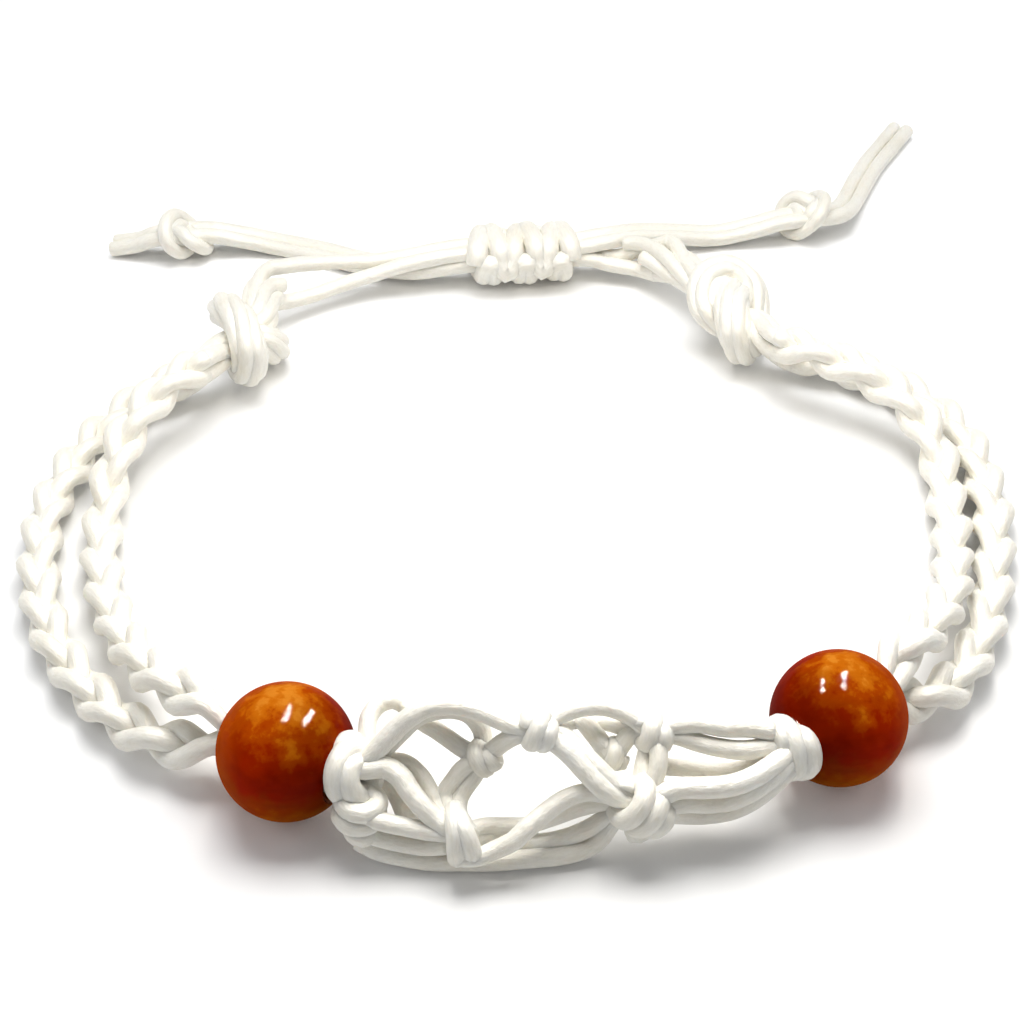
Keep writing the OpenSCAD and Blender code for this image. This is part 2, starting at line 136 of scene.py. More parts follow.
# Big knots: centre, turn, roll, stretch, diameter of the rope, mouth on the plaits' side, neck
# on the closing pair's side, and how far the four cut cords go on past the start of the neck
BIG_KNOTS = (
    ([-18.2, 18.9, 3.44], 57, 240, [1.04, 1.08, 0.92], 2.65, [-20.7, 15.3, 3.2],
     [[-16.5, 24.5, 3], [-13.4, 26.9, 2.4]], (1.2, 0.4, 1.6, 0.8)),
    ([19.1, 18.1, 3.15], 115, 30, [1.12, 0.94, 0.85], 2.6, [20.6, 13.7, 3],
     [[15.6, 25.4, 2.8], [13.4, 27.8, 2.2], [11.2, 28.5, 1.9]], (4.4, 3, 5, 3.6)))
# A big knot's cords: number, twist round the rope in radians a millimetre, diameter, play between
# them, distances along the rope from its start and before its neck where they join other cords,
# how much wider the cut ones fan out and over what length, and over how many rings a cord slims
STRANDS = 6
KNOT_TWIST = 0.24
STRAND = 1.2
STRAND_PLAY = 0.03
KNOT_START = 1.7
KNOT_STOP = 1.6
KNOT_FAN = 0.45
KNOT_FAN_OVER = 3
SLIM_OVER = 6

# Where the net is knotted
KNOT_TOP = [-1.6, -27.5, 7.3]
KNOT_FRONT_LEFT = [-6.2, -30.4, 2.6]
KNOT_BACK_LEFT = [-4.5, -27, 5]
KNOT_FRONT_RIGHT = [4.1, -30, 3.6]
KNOT_BACK_RIGHT = [5, -27.3, 6.3]

# Net knots: wraps of one cord, each with its place, turn, rise and radius; turns, start and cord
NET_KNOTS = (
    ([[[-2, -27.4, 7.4], -8, -10, 0.7], [[-0.9, -27.4, 7.2], -8, -10, 0.7]], 2.1, 60, 1.2),
    ([[[-6.5, -30.2, 2.4], -16, 4, 1.25], [[-6, -30.3, 2.5], 4, 12, 1.3],
      [[-5.6, -30.4, 2.6], 22, 22, 1.2]], 2.4, 120, 1.2),
    ([[[-4.9, -27, 4.6], 0, 40, 0.6], [[-4.1, -27, 5.3], 0, 40, 0.6]], 2, 60, 1.1),
    ([[[2.9, -30, 4.2], 0, -30, 1.05], [[4.1, -30.3, 3.6], 0, -30, 1.2],
      [[5.1, -30.3, 3], 0, -30, 1]], 3, 90, 1.2),
    ([[[4.4, -27.2, 6.3], 0, -4, 0.65], [[5.6, -27.3, 6.2], 0, -4, 0.65]], 2, 90, 1.25),
    ([[[2.4, -27.4, 4.9], 10, -10, 0.5], [[3.2, -27.3, 4.7], 10, -10, 0.5]], 1.8, 90, 1.1))

# Net cords: diameter and way points, from left to right
NET_CORDS = (
    (1.15, [[-11.1, -27.1, 5.4], [-10.1, -26.7, 6.3], [-9.1, -26.3, 7.2], [-8.3, -26.1, 7.8],
        [-7.5, -25.9, 8.1], [-6.6, -25.9, 8.2], [-5.8, -25.9, 8.1], [-5.1, -26, 7.9],
        [-4.2, -26.3, 7.7], [-3.4, -26.7, 7.5], [-2.5, -27.1, 7.3], KNOT_TOP]),
    (1.1, [[-10.9, -26.5, 4.8], [-9.8, -26.2, 5.6], [-8.9, -25.8, 6.3], [-8, -25.4, 6.9],
        [-7, -25.3, 7.2], [-6, -25.3, 7.2], [-5.2, -25.4, 6.9], [-4.7, -25.6, 6.4],
        [-4.4, -25.9, 5.8], [-4.4, -26.4, 5.3], KNOT_BACK_LEFT]),
    (1.1, [[-11.1, -26, 4.6], [-10.9, -25.4, 5.5], [-10.7, -24.4, 6.1], [-10.1, -23.7, 6.4],
        [-9.3, -23.5, 6.5], [-8.7, -23.7, 6.3], [-8.1, -24.3, 6.1], [-7.6, -24.9, 5.9],
        [-7, -25.3, 5.7], [-6.3, -25.8, 5.4], [-5.5, -26.4, 5.1], KNOT_BACK_LEFT]),
    (1.1, [KNOT_BACK_LEFT, [-3.9, -27.1, 5.6], [-3.3, -27.2, 6.3], [-2.5, -27.3, 6.9], KNOT_TOP]),
    (1.05, [KNOT_BACK_LEFT, [-5.6, -27.3, 4.5], [-6.2, -27.6, 3.9], [-6.7, -28, 3.3],
        [-6.6, -28.9, 2.8]]),
    (1.05, [KNOT_BACK_LEFT, [-5, -27.5, 4.1], [-5.6, -27.9, 3.5], [-6, -28.4, 3],
        [-6.1, -29.5, 2.7]]),
    (1.1, [[-11, -26.4, 3.9], [-10.1, -26.3, 3.2], [-9.4, -26.9, 2.2], [-8.9, -28, 1.5],
        [-8, -29.2, 1.2], [-6.7, -30, 1.5]]),
    (1, [[-10.7, -26.3, 4.4], [-9.4, -26.3, 4.5], [-8.6, -26.5, 4.3], [-7.9, -27.2, 3.9],
        [-7.5, -27.9, 3.4], [-7.1, -28.7, 2.9], [-6.6, -29.6, 2.6]]),
    (1.3, [[-12.2, -27, 4.9], [-11.2, -27.4, 5.2], [-10, -27.4, 5.2], [-9.2, -27.9, 4.9],
        [-8.7, -28.6, 4.4], [-8.1, -29.3, 3.9], [-7.4, -29.8, 3.3], [-6.6, -30.3, 2.9]]),
    (1.1, [[-11.5, -29.2, 3.4], [-10.4, -29.5, 3.1], [-9.2, -29.8, 2.9], [-7.9, -30.1, 2.7],
        KNOT_FRONT_LEFT]),
    (1.1, [[-11.8, -29.2, 2.2], [-10.6, -29.5, 1.8], [-9.3, -29.9, 1.6], [-8, -30.3, 1.6],
        [-6.7, -30.6, 1.9]]),
    (1.1, [[-11.8, -29.1, 1.3], [-10.7, -29.6, 0.8], [-9.4, -30.1, 0.7], [-7.8, -30.5, 0.6],
        [-6.2, -30.7, 0.6], [-4.2, -30.9, 0.6], [-2.2, -30.9, 0.6], [-0.4, -30.9, 0.7],
        [1.1, -30.7, 0.9], [1.9, -30.5, 1.5], [2.5, -30.2, 2.3], [3.3, -30, 3]]),
    (1.1, [[-6, -30.5, 1.8], [-5, -29.6, 1.2], [-4.1, -29.3, 0.9], [-2.9, -29.6, 0.8],
        [-1.6, -30.1, 0.9], [-0.1, -30.2, 1.3], [1.2, -30.2, 2], [2.4, -30, 2.7],
        [3.4, -29.9, 3.2]]),
    (1, [[-6, -30.1, 2.2], [-4.8, -29.3, 1.8], [-3.5, -29.2, 1.6], [-2.3, -29.5, 1.8],
        [-0.8, -29.5, 2.3], [0.7, -29.4, 2.8], [2.2, -29.6, 3.3], KNOT_FRONT_RIGHT]),
    (1.1, [[-6.3, -31.5, 1.9], [-5.3, -31.6, 1.9], [-4.2, -31.4, 2.2], [-3.2, -31.3, 2.7],
        [-2.4, -30.9, 3.2], [-1.3, -30.3, 3.7], [-0.2, -29.8, 4.1], [1, -29.6, 4.3],
        [2.1, -29.8, 4.2], [3.1, -30, 3.9], KNOT_FRONT_RIGHT]),
    (1.2, [KNOT_TOP, [-0.7, -27.9, 6.9], [0.2, -28.5, 6.3], [1, -29.2, 5.6], [1.9, -29.9, 4.8],
        [2.9, -30.1, 4.1], KNOT_FRONT_RIGHT]),
    (1.15, [KNOT_TOP, [-0.1, -27.4, 6.6], [0.8, -28.1, 6], [1.8, -28.9, 5.3], [2.7, -29.6, 4.6],
        [3.6, -29.9, 4], KNOT_FRONT_RIGHT]),
    (1.1, [KNOT_TOP, [0, -25.8, 6], [1.4, -25.3, 5.6], [2.7, -25.6, 5.6], [3.9, -26.5, 5.9],
        KNOT_BACK_RIGHT]),
    (1.1, [KNOT_TOP, [-0.3, -26.7, 7.5], [1, -26.3, 7.6], [2.5, -26.2, 7.4], [3.8, -26.6, 7],
        KNOT_BACK_RIGHT]),
    (1.1, [KNOT_BACK_RIGHT, [5.2, -28.3, 6], [5.1, -29.1, 5.4], [4.7, -29.7, 4.7],
        KNOT_FRONT_RIGHT]),
    (1.15, [KNOT_BACK_RIGHT, [6.3, -27.6, 6.2], [7.4, -27.9, 5.85], [8.6, -28.2, 5.6],
        [10.1, -28.3, 5.3], [11.9, -28, 5.1]]),
    (1.15, [KNOT_BACK_RIGHT, [6.4, -27.4, 6.8], [7.7, -27.4, 6.75], [9, -27.6, 6.5],
        [10.5, -27.5, 6.2], [11.9, -27.6, 5.9]]),
    (1.25, [KNOT_FRONT_RIGHT, [5, -30.4, 4.4], [6.1, -30.3, 4.8], [7.5, -30.4, 4.8],
        [9, -30.3, 4.7], [10.4, -29.9, 4.8], [11.9, -29, 4.9], [12.9, -28, 4.7]]),
    (1.25, [KNOT_FRONT_RIGHT, [5.3, -30.3, 3.6], [6.6, -30.2, 3.5], [7.9, -30.1, 3.2],
        [9.2, -30.1, 3.3], [10.5, -29.9, 3.8], [12, -29.2, 4.4], [13, -28.2, 4.3]]),
    (1.25, [KNOT_FRONT_RIGHT, [5.3, -30.1, 2.8], [6.6, -29.8, 2.1], [8, -29.7, 1.8],
        [9.4, -29.7, 2], [10.7, -29.7, 2.9], [12.2, -29.1, 3.9], [13.1, -28.2, 3.9]]),
    (1.15, [[1.2, -25.5, 6.1], [1.8, -26.3, 5.6], [2.4, -27.1, 5.1], [2.8, -27.6, 4.8],
        [3.2, -27.3, 5.2], [3.7, -27, 5.7], [4.3, -26.7, 6.1]]),
    (1.05, [[5.7, -27.9, 4], [7.1, -27.9, 3.7], [8.6, -28.1, 3.5], [10, -28.3, 3.7],
        [11.6, -28.3, 4.2]]),
    (1.1, [KNOT_BACK_RIGHT, [4.6, -28.1, 5.1], [4.3, -28.9, 4.6], [4.1, -29.5, 4]]),
    (1.1, [[4.2, -30.2, 3], [3.7, -30.5, 2.4], [3.7, -30.6, 1.6], [4.3, -30.5, 1.8],
        [4.8, -30.1, 2.8]]))

# A wrap's tucked ends: share of a turn that they take, and how far in they end; and the points
# from which a wrap is made
TUCK_OVER = 0.22
TUCK_TO = 0.35
WRAP_POINTS = 400

# Gather knots: wraps of one cord, as in the net knots
GATHER_KNOTS = (
    (([[[-12.3, -26.7, 4.7], -36, 14, 1.5], [[-11.2, -27.4, 4.7], -33, 28, 1.15]], 2.2, 60, 1.38),
     ([[[-11.4, -28.2, 3.9], -15, 74, 1], [[-11.8, -28.8, 2.2], -30, 70, 0.9]], 2.5, 200, 1.25)),
    (([[[13.38, -27.35, 4.3], 209, 0, 1.45], [[12.2, -27.6, 4.3], 205, 0, 1.2]], 2.3, 60, 1.35),))

# Beads: heading of the hole towards the net, hole, length along it, rounding of its rim
BEAD_HEADING = (-33, 180 + 29)
BEAD_BORE = 3
BEAD_LENGTH = 7.1
BEAD_RIM = 0.35
# Sides of a bead's mesh, rings from end to end, and rings of its rim and in its hole
BEAD_SIDES = 96
BEAD_RINGS = 49
RIM_RINGS = 7
# What is added to the height in each bead before it picks its colour from the stain stops; less
# leaves less amber and less painted sheen on top
BEAD_AMBER = (-0.395, -0.42)
# Cords through a bead: diameter, ring, first angle, distance of their far ends from the bead's
# end, how far they stand out at the net, how wide they fan out at the wraps, and the place along
# the hole from which that is measured
BUNDLE_CORD = 1.0
BUNDLE_RING = 0.86
BUNDLE_TURN = 0.3
BUNDLE_SHORT = 1.2
BUNDLE_OUT = 0.1
BUNDLE_FAN = 0.35
BUNDLE_FAN_FROM = 3.6

# Sliding knot: bars over the core, their cord, half width and half height
SLIDE_BARS = 6
SLIDE_CORD = 1.62
SLIDE_HALF = (1.7, 1.45)
# Points of one bar: shares of its lean, half width and half height. Between two bars the cord
# bulges sideways and dips past the middle.
SLIDE_BAR = ((-1.2, -1, 0.15), (-0.8, -0.72, 0.82), (0, 0, 1), (0.8, 0.72, 0.82), (1.2, 1, 0.15))
SLIDE_LEAN = 0.22
SLIDE_BULGE = 0.35
SLIDE_DIP = 0.28
# How far each bar is pushed along the core, and how much higher or lower it is than the others
SLIDE_PUSH = (0.05, -0.08, 0.1, -0.04, 0.08, -0.1)
SLIDE_RISE = (0.94, 1.04, 0.98, 1.06, 0.93, 1.02)

# End knots: turn of the pair that each holds, roll, and how far each is lifted off the surface
END_KNOTS = ((2, 200, 0.08), (6.5, 20, 0.17))
# Their rope, stretch, cord, how far each of the two cords is moved off the middle along both
# directions, and the distance between rings
END_KNOT_ROPE = 1.35
END_KNOT_STRETCH = (0.95, 1, 0.95)
END_KNOT_CORD = 1.15
END_KNOT_APART = 0.308
END_KNOT_STEP = 0.2

# Looks: colour stops of the cord, its fibres, the bead's stain from below to the top with painted
# light on top, and its grain; the stain away from the net, partly painted light; and the floor, its
# darker spots and half its width in metres
CORD_STOPS = ((0.25, (0.74, 0.71, 0.63)), (0.5, (0.785, 0.765, 0.70)), (0.75, (0.81, 0.80, 0.75)))
FIBRE_STOPS = ((0.3, (0.93, 0.925, 0.91)), (0.6, (1.0, 1.0, 1.0)))
# The bead's stops are partly painted light: the top is lighter and more amber, a painted sheen
# round the highlights
STAIN_AND_SHEEN_STOPS = (
    (0.15, (0.30, 0.068, 0.0003)), (0.42, (0.24, 0.025, 0.0002)), (0.6, (0.26, 0.009, 0.0001)),
    (0.76, (0.32, 0.015, 0.0002)), (0.86, (0.44, 0.055, 0.0005)), (0.94, (0.62, 0.15, 0.004)),
    (1.0, (0.74, 0.24, 0.018)))
GRAIN_STOPS = ((0.35, (0.7, 0.6, 0.5)), (0.6, (1.0, 1.0, 1.0)))
# The orange away from the net is partly painted light
OUTER_STAIN_AND_LIGHT = (0.46, 0.085, 0.0005, 1)
FLOOR_TONE = (0.95, 0.955, 0.965)
FLOOR_SHADE = 0.985
FLOOR_HALF = 1.5
# Light from all round, and the tint of the strips
AMBIENT = 0.17
STRIP_TONE = (1.0, 0.94, 0.82)
# Lights: name, place, target, size, power, and whether each lights surfaces or only shines
LIGHTS = (
    ("top_panel", (5, 62, 210), (0, 0, 0), (180, 120), 0.43, "soft"),
    ("front_panel", (0, -300, 60), (0, 0, 4), (300, 90), 0.115, "soft"),
    ("left_panel", (-140, 25, 65), (0, 0, 0), (110, 90), 0.07, "soft"),
    ("right_panel", (140, 25, 65), (0, 0, 0), (110, 90), 0.06, "soft"),
    ("left_strip", (-10, -4, 57), (-15, -24, 4), (6, 36), 0.7, "shine"),
    ("right_strip", (22, -8, 55), (16, -25, 4), (6, 36), 0.7, "shine"))


def unit(v):
    """v, or each row of it, at length 1."""
    return v / np.maximum(np.linalg.norm(v, axis=-1, keepdims=True), 1e-9)


def ease(g):
    """g from 0 to 1, with a soft start and end."""
    return g * g * (3 - 2 * g)


def smooth(points, steps=8):
    """A Catmull-Rom curve through way points."""
    p = np.asarray(points, float)
    n = len(p) - 1
    out = []
    f = (np.arange(steps) / steps)[:, None]
    for i in range(n):
        a, b, c, d = p[max(i - 1, 0)], p[i], p[min(i + 1, n)], p[min(i + 2, n)]
        out.append(0.5 * (2 * b + (c - a) * f + (2 * a - 5 * b + 4 * c - d) * f ** 2
                          + (3 * b - a - 3 * c + d) * f ** 3))
    return np.vstack(out + [p[-1:]])


def distances(path):
    """Distance from the start at each point, on the first three columns."""
    return np.concatenate([[0], np.cumsum(np.linalg.norm(np.diff(path[:, :3], axis=0), axis=1))])


def at(path, s):
    """The path's rows at the distances s."""
    d = distances(path)
    return np.stack([np.interp(s, d, column) for column in path.T], axis=-1)


def stepped(path, step=RING_STEP):
    """The path with points about a step apart."""
    total = distances(path)[-1]
    return at(path, np.linspace(0, total, max(int(round(total / step)), 2) + 1))


def way(points, step=RING_STEP):
    """A smooth, evenly stepped path through way points."""
    return stepped(smooth(points, 16), step)


def tangents(path):
    """Unit direction of the path at each point."""
    return unit(np.vstack([path[1:2] - path[:1], path[2:] - path[:-2], path[-1:] - path[-2:-1]]))


def level_side(t):
    """The level direction to the right of t."""
    return unit(np.cross(t, [0.0, 0.0, 1.0]))


def carried_frame(path):
    """Tangents, and two directions square to them carried along with no twist."""
    t = tangents(path)
    if abs(t[0][2]) < STEEP:
        n = np.cross(level_side(t[0]), t[0])
    else:
        n = unit(np.cross(t[0], [1.0, 0, 0]))
    normals = []
    for row in t:
        n = unit(n - (n @ row) * row)
        normals.append(n)
    normals = np.array(normals)
    return t, normals, np.cross(t, normals)


def bridge(a, ta, b, tb, step=RING_STEP):
    """A curve from a to b that leaves along ta and arrives along tb."""
    a, b = np.asarray(a, float), np.asarray(b, float)
    reach = np.linalg.norm(b - a)
    f = np.linspace(0, 1, max(int(reach / step), 3) + 1)[:, None]
    return ((2 * f ** 3 - 3 * f ** 2 + 1) * a + (f ** 3 - 2 * f ** 2 + f) * reach * unit(ta)
            + (3 * f ** 2 - 2 * f ** 3) * b + (f ** 3 - f ** 2) * reach * unit(tb))


def turned(p, angle, i, j):
    """Points turned from axis i to axis j by an angle in degrees."""
    c, s = math.cos(math.radians(angle)), math.sin(math.radians(angle))
    q = p.copy()
    q[:, i] = p[:, i] * c - p[:, j] * s
    q[:, j] = p[:, i] * s + p[:, j] * c
    return q


def placed(points, centre, turn, roll=0, stretch=(1, 1, 1)):
    """Points rolled round X, stretched, turned round Z and moved to the centre."""
    p = turned(np.asarray(points, float), roll, 1, 2) * stretch
    return turned(p, turn, 0, 1) + np.asarray(centre, float)


def overhand():
    """Middle line of a tight overhand knot, along X, for a rope of diameter 1."""
    half = np.array(OVERHAND_HALF, float)
    return OVERHAND_PULL * np.vstack([half, [OVERHAND_MIDDLE], half[::-1] * [-1, 1, -1]])


def wander(count, size, spacing=9):
    """A soft random walk about zero, to keep a cord from looking machined."""
    knots = rng.normal(0, 1, max(count // spacing, 2) + 3)
    x = np.linspace(0, len(knots) - 1, count)
    soft = np.interp(x, np.arange(len(knots)), knots)
    window = np.hanning(2 * spacing + 3)
    padded = np.pad(soft, spacing + 1, mode="edge")
    return size * np.convolve(padded, window / window.sum(), "valid")


def tube(path, diameter):
    """Vertices, faces and texture places of a cord along a path; a cut end has a soft rim."""
    path = np.asarray(path, float)
    n = len(path)
    t, side, up = carried_frame(path)
    radius = np.broadcast_to(np.asarray(diameter, float) / 2, (n,)) * (1 + wander(n, CORD_UNEVEN))
    s = distances(path)
    tip, rim = END_WIDTHS
    rings = [(path[0], side[0], up[0], radius[0] * tip, s[0] - END_MARGIN),
             (path[0] + t[0] * END_DEPTH, side[0], up[0], radius[0] * rim, s[0])]
    rings += [(path[i], side[i], up[i], radius[i], s[i]) for i in range(1, n - 1)]
    rings += [(path[-1] - t[-1] * END_DEPTH, side[-1], up[-1], radius[-1] * rim, s[-1]),
              (path[-1], side[-1], up[-1], radius[-1] * tip, s[-1] + END_MARGIN)]
    sides = CORD_SIDES
    angle = np.linspace(0, 2 * math.pi, sides, endpoint=False)
    c, q = np.cos(angle)[:, None], np.sin(angle)[:, None]
    verts = np.vstack([p + r * (c * a + q * b) for p, a, b, r, _ in rings])
    m = len(rings)
    i, j = np.meshgrid(np.arange(m - 1), np.arange(sides), indexing="ij")
    k = (j + 1) % sides
    walls = np.stack([i * sides + j, i * sides + k, (i + 1) * sides + k, (i + 1) * sides + j], -1)
    lengths = np.array([ring[4] for ring in rings])
    u0, u1 = lengths[i], lengths[i + 1]
    uv = np.stack([np.stack([u0, j / sides], -1), np.stack([u0, (j + 1) / sides], -1),
                   np.stack([u1, (j + 1) / sides], -1), np.stack([u1, j / sides], -1)], 2)
    faces = walls.reshape(-1, 4).tolist()
    places = list(uv.reshape(-1, 4, 2))
    faces += [list(range(sides - 1, -1, -1)), [(m - 1) * sides + a for a in range(sides)]]
    end_places = END_TEXTURE * np.stack([np.cos(angle), np.sin(angle)], -1)
    places += [end_places[::-1], end_places]
    return verts, faces, places


def make_piece(name, parts, material, node):
    """One mesh object from several parts in millimetres, in place of a node of the frame."""
    verts, faces, places, start = [], [], [], 0
    for v, f, uv in parts:
        verts.append(v)
        faces += [[start + i for i in face] for face in f]
        places += [row for loop in uv for row in loop]
        start += len(v)
    mesh = bpy.data.meshes.new(name)
    mesh.from_pydata((np.vstack(verts) * MM).tolist(), [], faces)
    mesh.polygons.foreach_set("use_smooth", [True] * len(faces))
    layer = mesh.uv_layers.new(name="cord")
    layer.data.foreach_set("uv", np.asarray(places, dtype=np.float32).ravel())
    mesh.materials.append(material)
    obj = bpy.data.objects.new(name, mesh)
    bpy.context.scene.collection.objects.link(obj)
    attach(obj, "root")
    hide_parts(node)
    return obj


class Shader:
    """Short calls for building a material's nodes."""

    def __init__(self, name):
        self.material = bpy.data.materials.new(name)
        self.material.use_nodes = True
        self.tree = self.material.node_tree
        self.surface = self.tree.nodes["Principled BSDF"]

    def node(self, kind, inputs=(), **settings):
        """A new node with its inputs linked or set."""
        made = self.tree.nodes.new(kind)
        for key, value in settings.items():
            setattr(made, key, value)
        for key, value in dict(inputs).items():
            socket = made.inputs[key]
            if isinstance(value, bpy.types.NodeSocket):
                self.tree.links.new(value, socket)
            else:
                socket.default_value = value
        return made

    def link(self, output, key):
        """Link an output to an input of the surface."""
        self.tree.links.new(output, self.surface.inputs[key])

    def set(self, **values):
        """Set inputs of the surface."""
        for key, value in values.items():
            self.surface.inputs[key.replace("_", " ")].default_value = value

    def moved(self, place, **values):
        """The place, moved, turned or scaled."""
        return self.node("ShaderNodeMapping", {"Vector": place, **values}).outputs["Vector"]

    def noise(self, place, scale, **values):
        """A cloud of noise from 0 to 1."""
        values = {"Vector": place, "Scale": scale, **values}
        return self.node("ShaderNodeTexNoise", values).outputs["Fac"]

    def calc(self, operation, a, b):
        """The result of one operation on two numbers."""
        return self.node("ShaderNodeMath", {0: a, 1: b}, operation=operation).outputs[0]

    def span(self, value, source, target=(0.0, 1.0)):
        """The value, carried over from the source range to the target range."""
        made = self.node("ShaderNodeMapRange", {
            "Value": value, "From Min": source[0], "From Max": source[1],
            "To Min": target[0], "To Max": target[1]})
        return made.outputs["Result"]

    def mix(self, share, a, b, blend="MIX"):
        """Two colours, blended."""
        return self.node("ShaderNodeMix", {0: share, 6: a, 7: b}, data_type="RGBA",
                         blend_type=blend).outputs[2]

    def bump(self, height, strength, distance, **values):
        """A normal that follows the height."""
        values = {"Height": height, "Strength": strength, "Distance": distance, **values}
        return self.node("ShaderNodeBump", values).outputs["Normal"]

    def ramp(self, factor, stops):
        """A colour for the factor, from stops of place and colour."""
        made = self.node("ShaderNodeValToRGB", {"Fac": factor})
        made.color_ramp.interpolation = "EASE"
        elements = made.color_ramp.elements
        elements[0].position, elements[0].color = stops[0][0], (*stops[0][1], 1)
        elements[1].position, elements[1].color = stops[-1][0], (*stops[-1][1], 1)
        for position, colour in stops[1:-1]:
            elements.new(position).color = (*colour, 1)
        return made.outputs["Color"]


def make_cord_material():
    """White waxed cotton: plied fibres under a thin coat of wax, a little cream in places."""
    shader = Shader("waxed_cotton")
    place = shader.node("ShaderNodeTexCoord")
    tone = shader.noise(place.outputs["Object"], 230.0, Detail=3.0, Roughness=0.55)
    # Fibres lie along a slow twist
    twist = shader.moved(place.outputs["UV"], Rotation=(0, 0, math.radians(14)),
                         Scale=(1.3, 16.0, 1))
    fibres = shader.noise(twist, 1.6, Detail=5.0, Roughness=0.65)
    shader.link(shader.mix(1.0, shader.ramp(tone, CORD_STOPS), shader.ramp(fibres, FIBRE_STOPS),
                           "MULTIPLY"), "Base Color")
    wide = shader.moved(place.outputs["UV"], Scale=(0.9, 2.2, 1))
    lumps = shader.bump(shader.noise(wide, 0.9, Detail=2.0), 0.5, 0.0002)
    shader.link(shader.bump(fibres, 0.7, 0.0001, Normal=lumps), "Normal")
    shader.link(shader.span(fibres, (0.3, 0.7), (0.55, 0.74)), "Roughness")
    shader.set(Specular_IOR_Level=0.35, Sheen_Weight=0.12, Sheen_Roughness=0.5,
               Subsurface_Weight=0.3, Subsurface_Scale=0.0006,
               Subsurface_Radius=(1.0, 0.82, 0.6))
    return shader.material


def make_wood_material(centre, axis, amber):
    """Stained wood under clear lacquer: amber on top, red-brown in the middle, dark at the net; the
    top's amber is partly painted sheen, the outer side partly painted light and the dark at the net
    partly painted shade.
    """
    shader = Shader("stained_wood_and_painted_light")
    place = shader.node("ShaderNodeTexCoord")
    local = shader.moved(place.outputs["Object"], Location=tuple(-c for c in centre))
    upright = shader.node("ShaderNodeSeparateXYZ", {"Vector": local}).outputs["Z"]
    # Height in the bead, shifted by large clouds and small flecks, picks the stain; the stops add
    # painted light, lighter and more amber towards the top
    clouds = shader.calc("MULTIPLY", shader.noise(local, 300.0, Detail=3.0, Distortion=0.6), 0.42)
    flecks = shader.calc("MULTIPLY", shader.noise(local, 1100.0, Detail=4.0, Roughness=0.6), 0.34)
    shift = shader.calc("ADD", shader.calc("ADD", clouds, flecks), amber)
    stain_and_light = shader.ramp(shader.calc("ADD", shader.span(upright, (-0.004, 0.004)), shift),
                        STAIN_AND_SHEEN_STOPS)
    # The stain turns orange on the side away from the net, partly real and partly painted light on
    # the side the knot does not shade
    inward = shader.node("ShaderNodeVectorMath", {0: local, 1: tuple(axis)},
                         operation="DOT_PRODUCT").outputs["Value"]
    stain_and_light = shader.mix(shader.span(inward, (-0.0005, -0.0035), (0.0, 0.65)), stain_and_light, OUTER_STAIN_AND_LIGHT)
    along = shader.moved(local, Rotation=(0, 0, math.radians(33)), Scale=(160, 900, 900))
    grain = shader.noise(along, 1.0, Detail=4.0, Roughness=0.6)
    stain_and_light = shader.mix(0.5, stain_and_light, shader.ramp(grain, GRAIN_STOPS), "MULTIPLY")
    # It is darker towards the net: partly the stain, partly painted shade where the gather knot
    # shades the bead
    stain_and_net_shade = shader.span(inward, (0.0005, 0.004), (1.0, 0.4))
    shader.link(shader.mix(1.0, stain_and_light, stain_and_net_shade, "MULTIPLY"), "Base Color")
    shader.link(shader.bump(grain, 0.12, 0.00005), "Normal")
    # The lacquer is a little uneven, which breaks up what it mirrors
    ripple = shader.noise(local, 750.0, Detail=2.0)
    shader.link(shader.bump(ripple, 0.7, 0.00012), "Coat Normal")
    shader.set(Roughness=0.4, Specular_IOR_Level=0.0, Coat_Weight=0.05, Coat_Roughness=0.06,
               Coat_IOR=1.35, Specular_Tint=(1.0, 0.5, 0.15, 1))
    return shader.material


def make_floor():
    """A plain pale surface under the bracelet."""
    shader = Shader("pale_surface")
    place = shader.node("ShaderNodeTexCoord")
    speck = shader.noise(place.outputs["Object"], 90.0)
    shade = tuple(FLOOR_SHADE * c for c in FLOOR_TONE)
    shader.link(shader.ramp(speck, ((0.3, shade), (0.7, FLOOR_TONE))), "Base Color")
    shader.set(Roughness=0.85, Specular_IOR_Level=0.2)
    half = FLOOR_HALF
    mesh = bpy.data.meshes.new("floor")
    mesh.from_pydata([(-half, -half, 0), (half, -half, 0), (half, half, 0), (-half, half, 0)], [],
                     [(0, 1, 2, 3)])
    mesh.materials.append(shader.material)
    floor = bpy.data.objects.new("floor", mesh)
    bpy.context.scene.collection.objects.link(floor)


def make_camera():
    """The photo's view."""
    data = bpy.data.cameras.new("camera")
    data.angle = 2 * math.atan(FRAME_HALF / FOCAL_LENGTH)
    data.clip_start = 0.005
    camera = bpy.data.objects.new("camera", data)
    back = Vector(CAMERA_BACK).normalized()
    camera.location = back * CAMERA_DISTANCE * MM
    camera.rotation_euler = (-back).to_track_quat("-Z", "Y").to_euler()
    bpy.context.scene.collection.objects.link(camera)
    bpy.context.scene.camera = camera


def make_light(name, place, target, size, power, kind):
    """A rectangular soft light at a place in millimetres, that lights surfaces or only shines."""
    data = bpy.data.lights.new(name, "AREA")
    data.shape = "RECTANGLE"
    data.size, data.size_y = size[0] * MM, size[1] * MM
    data.energy = power
    if kind == "shine":
        data.color = STRIP_TONE
    light = bpy.data.objects.new(name, data)
    light.location = Vector(place) * MM
    light.rotation_euler = (Vector(target) - Vector(place)).to_track_quat("-Z", "Y").to_euler()
    light.visible_camera = False
    light.visible_glossy = kind == "shine"
    light.visible_diffuse = kind == "soft"
    bpy.context.scene.collection.objects.link(light)


